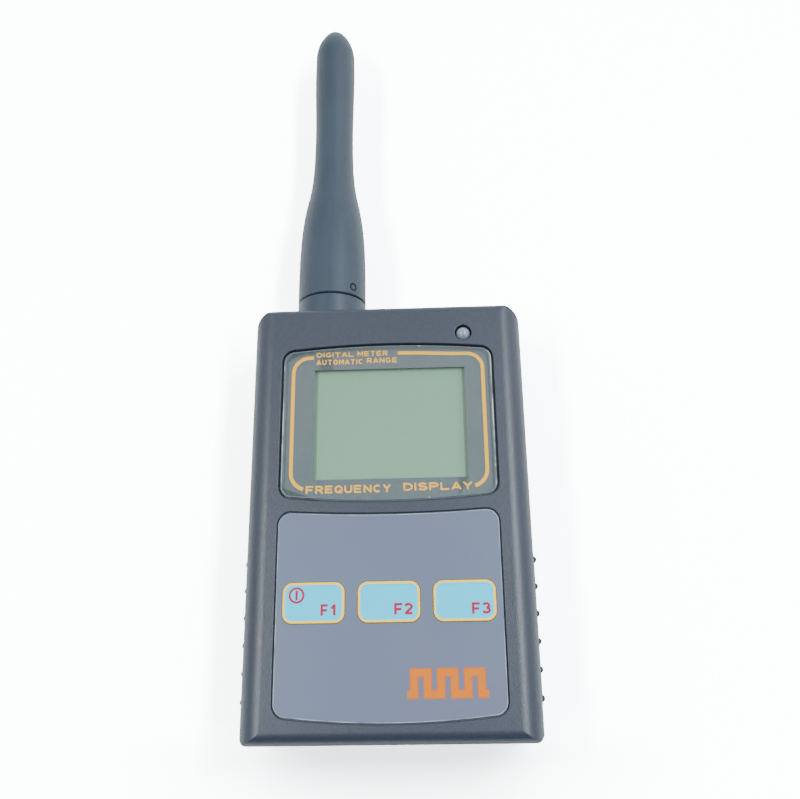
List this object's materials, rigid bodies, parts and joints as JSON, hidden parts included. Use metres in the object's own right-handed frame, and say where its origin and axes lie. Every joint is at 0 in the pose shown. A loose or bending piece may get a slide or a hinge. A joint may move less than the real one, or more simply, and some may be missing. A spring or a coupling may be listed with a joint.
{
  "type": "handheld frequency counter",
  "caption": "Handheld radio frequency counter: flat case with a display window, a keypad panel with soft keys, side grips, and a stubby bayonet antenna.",
  "frame": {"origin": "centre of the case's flat back face", "axes": "+Z out of the display, +Y along the case towards the antenna's tip, +X to the right of the display"},
  "size_m": [0.0732, 0.2124, 0.0285],
  "materials": {
    "case_plastic": "finely textured moulded ABS",
    "grip_rubber": "matte moulded rubber",
    "antenna_rubber": "smooth matte rubber",
    "collar_plastic": "satin moulded ABS",
    "screw_steel": "black oxide",
    "rating_film": "printed polyester film",
    "lens_acrylic": "clear polished acrylic",
    "mask_print": "grey screen print",
    "label_film": "finely textured printed film",
    "key_film": "printed embossed film",
    "switch_black": "moulded",
    "dome_steel": "spring steel",
    "led_epoxy": "water-clear epoxy",
    "tinned_metal": "tin plated",
    "board_laminate": "green solder mask",
    "frame_plastic": "white moulded",
    "light_guide": "clear acrylic",
    "display_glass": "bonded glass",
    "polarizer_film": "satin film",
    "contact_rubber": "silicone",
    "chip_epoxy": "moulded epoxy",
    "capacitor_can": "bare can",
    "chip_ceramic": "ceramic",
    "foam": "closed-cell foam",
    "battery_wrap": "film-wrapped aluminium can",
    "lead_insulation": "pvc",
    "connector_plastic": "nylon",
    "jack_black": "moulded",
    "nickel": "nickel plated",
    "contact_gold": "gold plated",
    "ptfe": "white ptfe",
    "spring_bronze": "phosphor bronze",
    "gasket_silicone": "silicone",
    "core_glassfibre": "glass fibre",
    "coil_copper": "enamelled copper"
  },
  "bodies": {
    "case": {"front_case": "case_plastic", "rear_case": "case_plastic", "side_grip_left": "grip_rubber", "side_grip_right": "grip_rubber", "case_screws": "screw_steel", "board_screws": "tinned_metal", "rating_label": "rating_film", "window_lens": "lens_acrylic", "lens_mask": "mask_print", "keypad_overlay": "label_film", "switch_bodies": "switch_black", "switch_domes": "dome_steel", "status_led": "led_epoxy", "led_leads": "tinned_metal", "main_board": "board_laminate", "lcd_frame": "frame_plastic", "lcd_backlight": "light_guide", "lcd_glass": "display_glass", "lcd_polarizer": "polarizer_film", "zebra_strips": "contact_rubber", "controller_chip": "chip_epoxy", "prescaler_chip": "chip_epoxy", "voltage_regulator": "chip_epoxy", "rf_shield": "tinned_metal", "crystal_oscillator": "tinned_metal", "capacitors": "capacitor_can", "small_components": "chip_ceramic", "battery_pad": "foam", "battery_pack": "battery_wrap", "battery_leads": "lead_insulation", "battery_plug": "connector_plastic", "battery_socket": "connector_plastic", "dc_jack_body": "jack_black", "dc_jack_contacts": "tinned_metal", "antenna_collar": "collar_plastic", "jack_body": "nickel", "jack_insulator": "ptfe", "jack_contact": "contact_gold", "jack_nut": "nickel", "jack_lock_washer": "nickel", "ground_lug": "tinned_metal"},
    "antenna": {"antenna_sleeve": "antenna_rubber", "coupling_ring": "nickel", "spring_washer": "spring_bronze", "plug_gasket": "gasket_silicone", "plug_body": "nickel", "plug_insulator": "ptfe", "plug_pin": "contact_gold", "antenna_core": "core_glassfibre", "antenna_coil": "coil_copper"},
    "key_f1": {"key_f1": "key_film", "switch_stem_f1": "switch_black"},
    "key_f2": {"key_f2": "key_film", "switch_stem_f2": "switch_black"},
    "key_f3": {"key_f3": "key_film", "switch_stem_f3": "switch_black"}
  },
  "joints": [
    {"name": "antenna_turn", "type": "hinge", "parent": "case", "child": "antenna", "pos_m": [-0.0162, 0.0612, 0.014], "axis": [0, 1, 0], "range_deg": [0, 90]},
    {"name": "key_f1_press", "type": "slide", "parent": "case", "child": "key_f1", "axis": [0, 0, -1], "range_m": [0, 0.00025], "stiffness_N_per_m": 1500, "springref_m": -0.0005},
    {"name": "key_f2_press", "type": "slide", "parent": "case", "child": "key_f2", "axis": [0, 0, -1], "range_m": [0, 0.00025], "stiffness_N_per_m": 1500, "springref_m": -0.0005},
    {"name": "key_f3_press", "type": "slide", "parent": "case", "child": "key_f3", "axis": [0, 0, -1], "range_m": [0, 0.00025], "stiffness_N_per_m": 1500, "springref_m": -0.0005}
  ]
}
